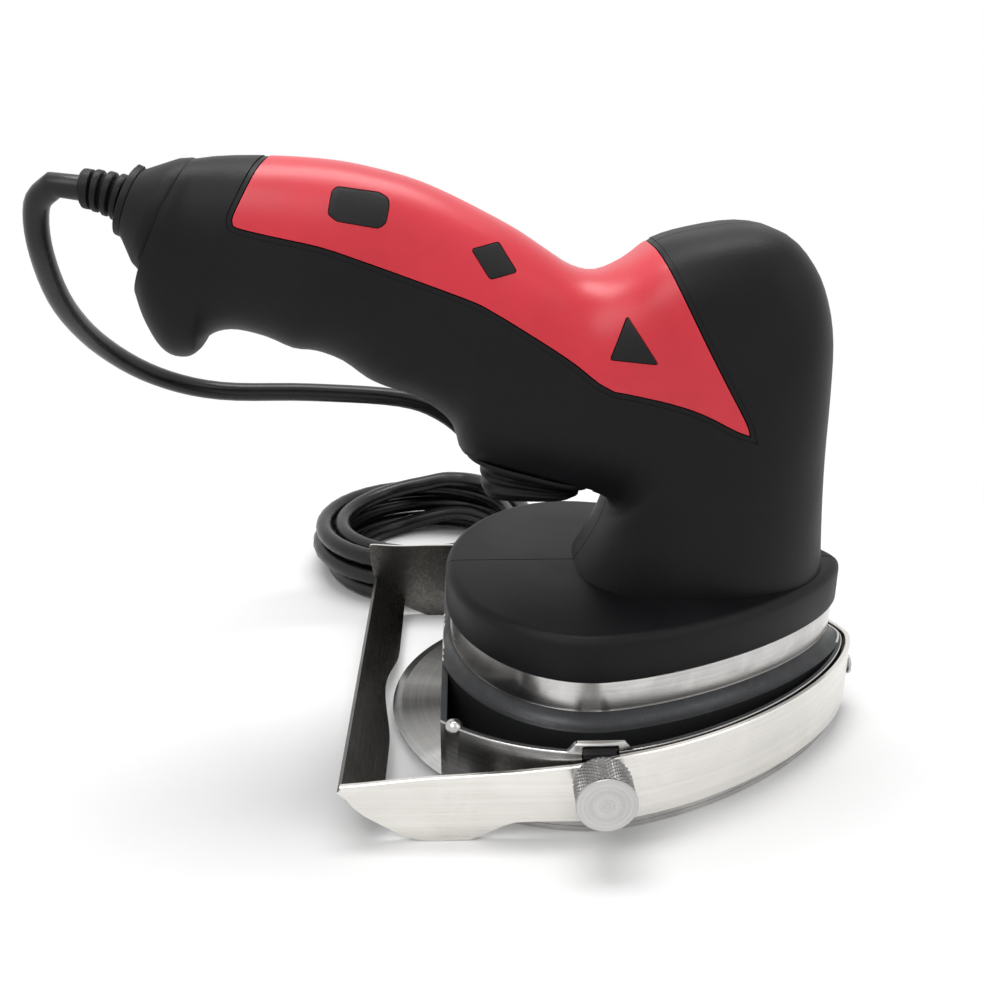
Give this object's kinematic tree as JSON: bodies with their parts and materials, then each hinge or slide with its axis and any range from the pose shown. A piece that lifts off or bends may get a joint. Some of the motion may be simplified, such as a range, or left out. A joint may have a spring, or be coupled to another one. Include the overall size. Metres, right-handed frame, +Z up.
{
  "type": "electric kebab knife",
  "caption": "Hand-held electric slicing knife with a round blade in a polished gear head, trigger handle, adjustable slice guard and coiled mains lead.",
  "frame": {"origin": "under the centre of the knife's box on the table, measured without the cord and plug", "axes": "+X from the handle to the nose of the gear head, +Y away from the clamp knob, +Z up along the blade's axis"},
  "size_m": [0.2149, 0.2062, 0.1456],
  "materials": {
    "black_steel": "blackened",
    "blade_steel": "brushed round the axis",
    "board": "lacquered board",
    "bright_steel": "bright",
    "carbon": "pressed carbon",
    "casting": "turned and polished",
    "copper": "copper bars",
    "cord_sheath": "glossy black sheath",
    "ferrite": "sintered",
    "grey_plastic": "moulded",
    "guard_steel": "brushed along the band",
    "housing": "fine matte black moulding",
    "panel": "satin red moulding",
    "plug_black": "moulded on",
    "red_button": "moulded",
    "rubber": "soft black rubber"
  },
  "bodies": {
    "knife": {"near_housing_shell": "housing", "far_housing_shell": "housing", "top_panel": "panel", "near_bar_inlay": "panel", "near_diamond_inlay": "panel", "near_wedge_inlay": "panel", "far_bar_inlay": "panel", "far_diamond_inlay": "panel", "far_wedge_inlay": "panel", "housing_screw_1": "bright_steel", "housing_screw_2": "bright_steel", "housing_screw_3": "bright_steel", "gear_head_casting": "casting", "bearing_plate": "casting", "plate_screw_1": "bright_steel", "plate_screw_2": "bright_steel", "plate_screw_3": "bright_steel", "motor_can": "bright_steel", "magnet_1": "ferrite", "magnet_2": "ferrite", "end_bell": "grey_plastic", "front_motor_bearing": "bright_steel", "rear_motor_bearing": "bright_steel", "brush_1": "carbon", "brush_2": "carbon", "lower_spindle_bearing": "bright_steel", "upper_spindle_bearing": "bright_steel", "nose_screw": "bright_steel", "trigger_boot": "rubber", "trigger_spring": "bright_steel", "trigger_switch": "grey_plastic", "rectifier_board": "board", "capacitor": "plug_black", "strain_relief": "rubber", "mains_lead": "cord_sheath", "cord_coil": "cord_sheath", "plug_lead": "cord_sheath", "plug_body": "plug_black", "near_plug_pin": "bright_steel", "far_plug_pin": "bright_steel"},
    "blade_spindle": {"spindle": "bright_steel", "drive_gear": "grey_plastic", "blade": "blade_steel", "blade_screw": "bright_steel"},
    "rotor": {"motor_shaft": "bright_steel", "pinion": "bright_steel", "armature_core": "black_steel", "commutator": "copper"},
    "guard": {"guard_band": "guard_steel", "slide_nut": "black_steel"},
    "clamp": {"clamp_knob": "bright_steel"},
    "trigger": {"trigger_lever": "grey_plastic", "trigger_pin": "bright_steel"},
    "plunger": {"switch_plunger": "red_button"}
  },
  "joints": [
    {"name": "blade_spin", "type": "hinge", "parent": "knife", "child": "blade_spindle", "pos_m": [0.02057, 0.00515, 0.01], "axis": [0, 0, 1], "continuous": true},
    {"name": "rotor_spin", "type": "hinge", "parent": "knife", "child": "rotor", "pos_m": [0.05457, 0.00515, 0.05], "axis": [0, 0, 1], "continuous": true},
    {"name": "guard_tilt", "type": "hinge", "parent": "knife", "child": "guard", "pos_m": [0.09357, 0.00515, 0.012], "axis": [0, 1, 0], "range_deg": [0, 1.5]},
    {"name": "clamp_turn", "type": "hinge", "parent": "guard", "child": "clamp", "pos_m": [0.02057, -0.05485, 0.0167], "axis": [0, 1, 0], "range_deg": [-180, 540]},
    {"name": "trigger_pull", "type": "hinge", "parent": "knife", "child": "trigger", "pos_m": [0.01657, 0.00515, 0.0745], "axis": [0, 1, 0], "range_deg": [0, 9], "stiffness_Nm_per_rad": 0.2, "springref_deg": -3.44, "deforming": ["trigger_boot", "trigger_spring"]},
    {"name": "plunger_push", "type": "slide", "parent": "knife", "child": "plunger", "axis": [0, 0, 1], "range_m": [0, 0.0022]}
  ],
  "couplings": [
    {"joint": "rotor_spin", "follows": "blade_spin", "ratio": -2.7778},
    {"joint": "plunger_push", "follows": "trigger_pull", "m_per_rad": 0.013}
  ]
}
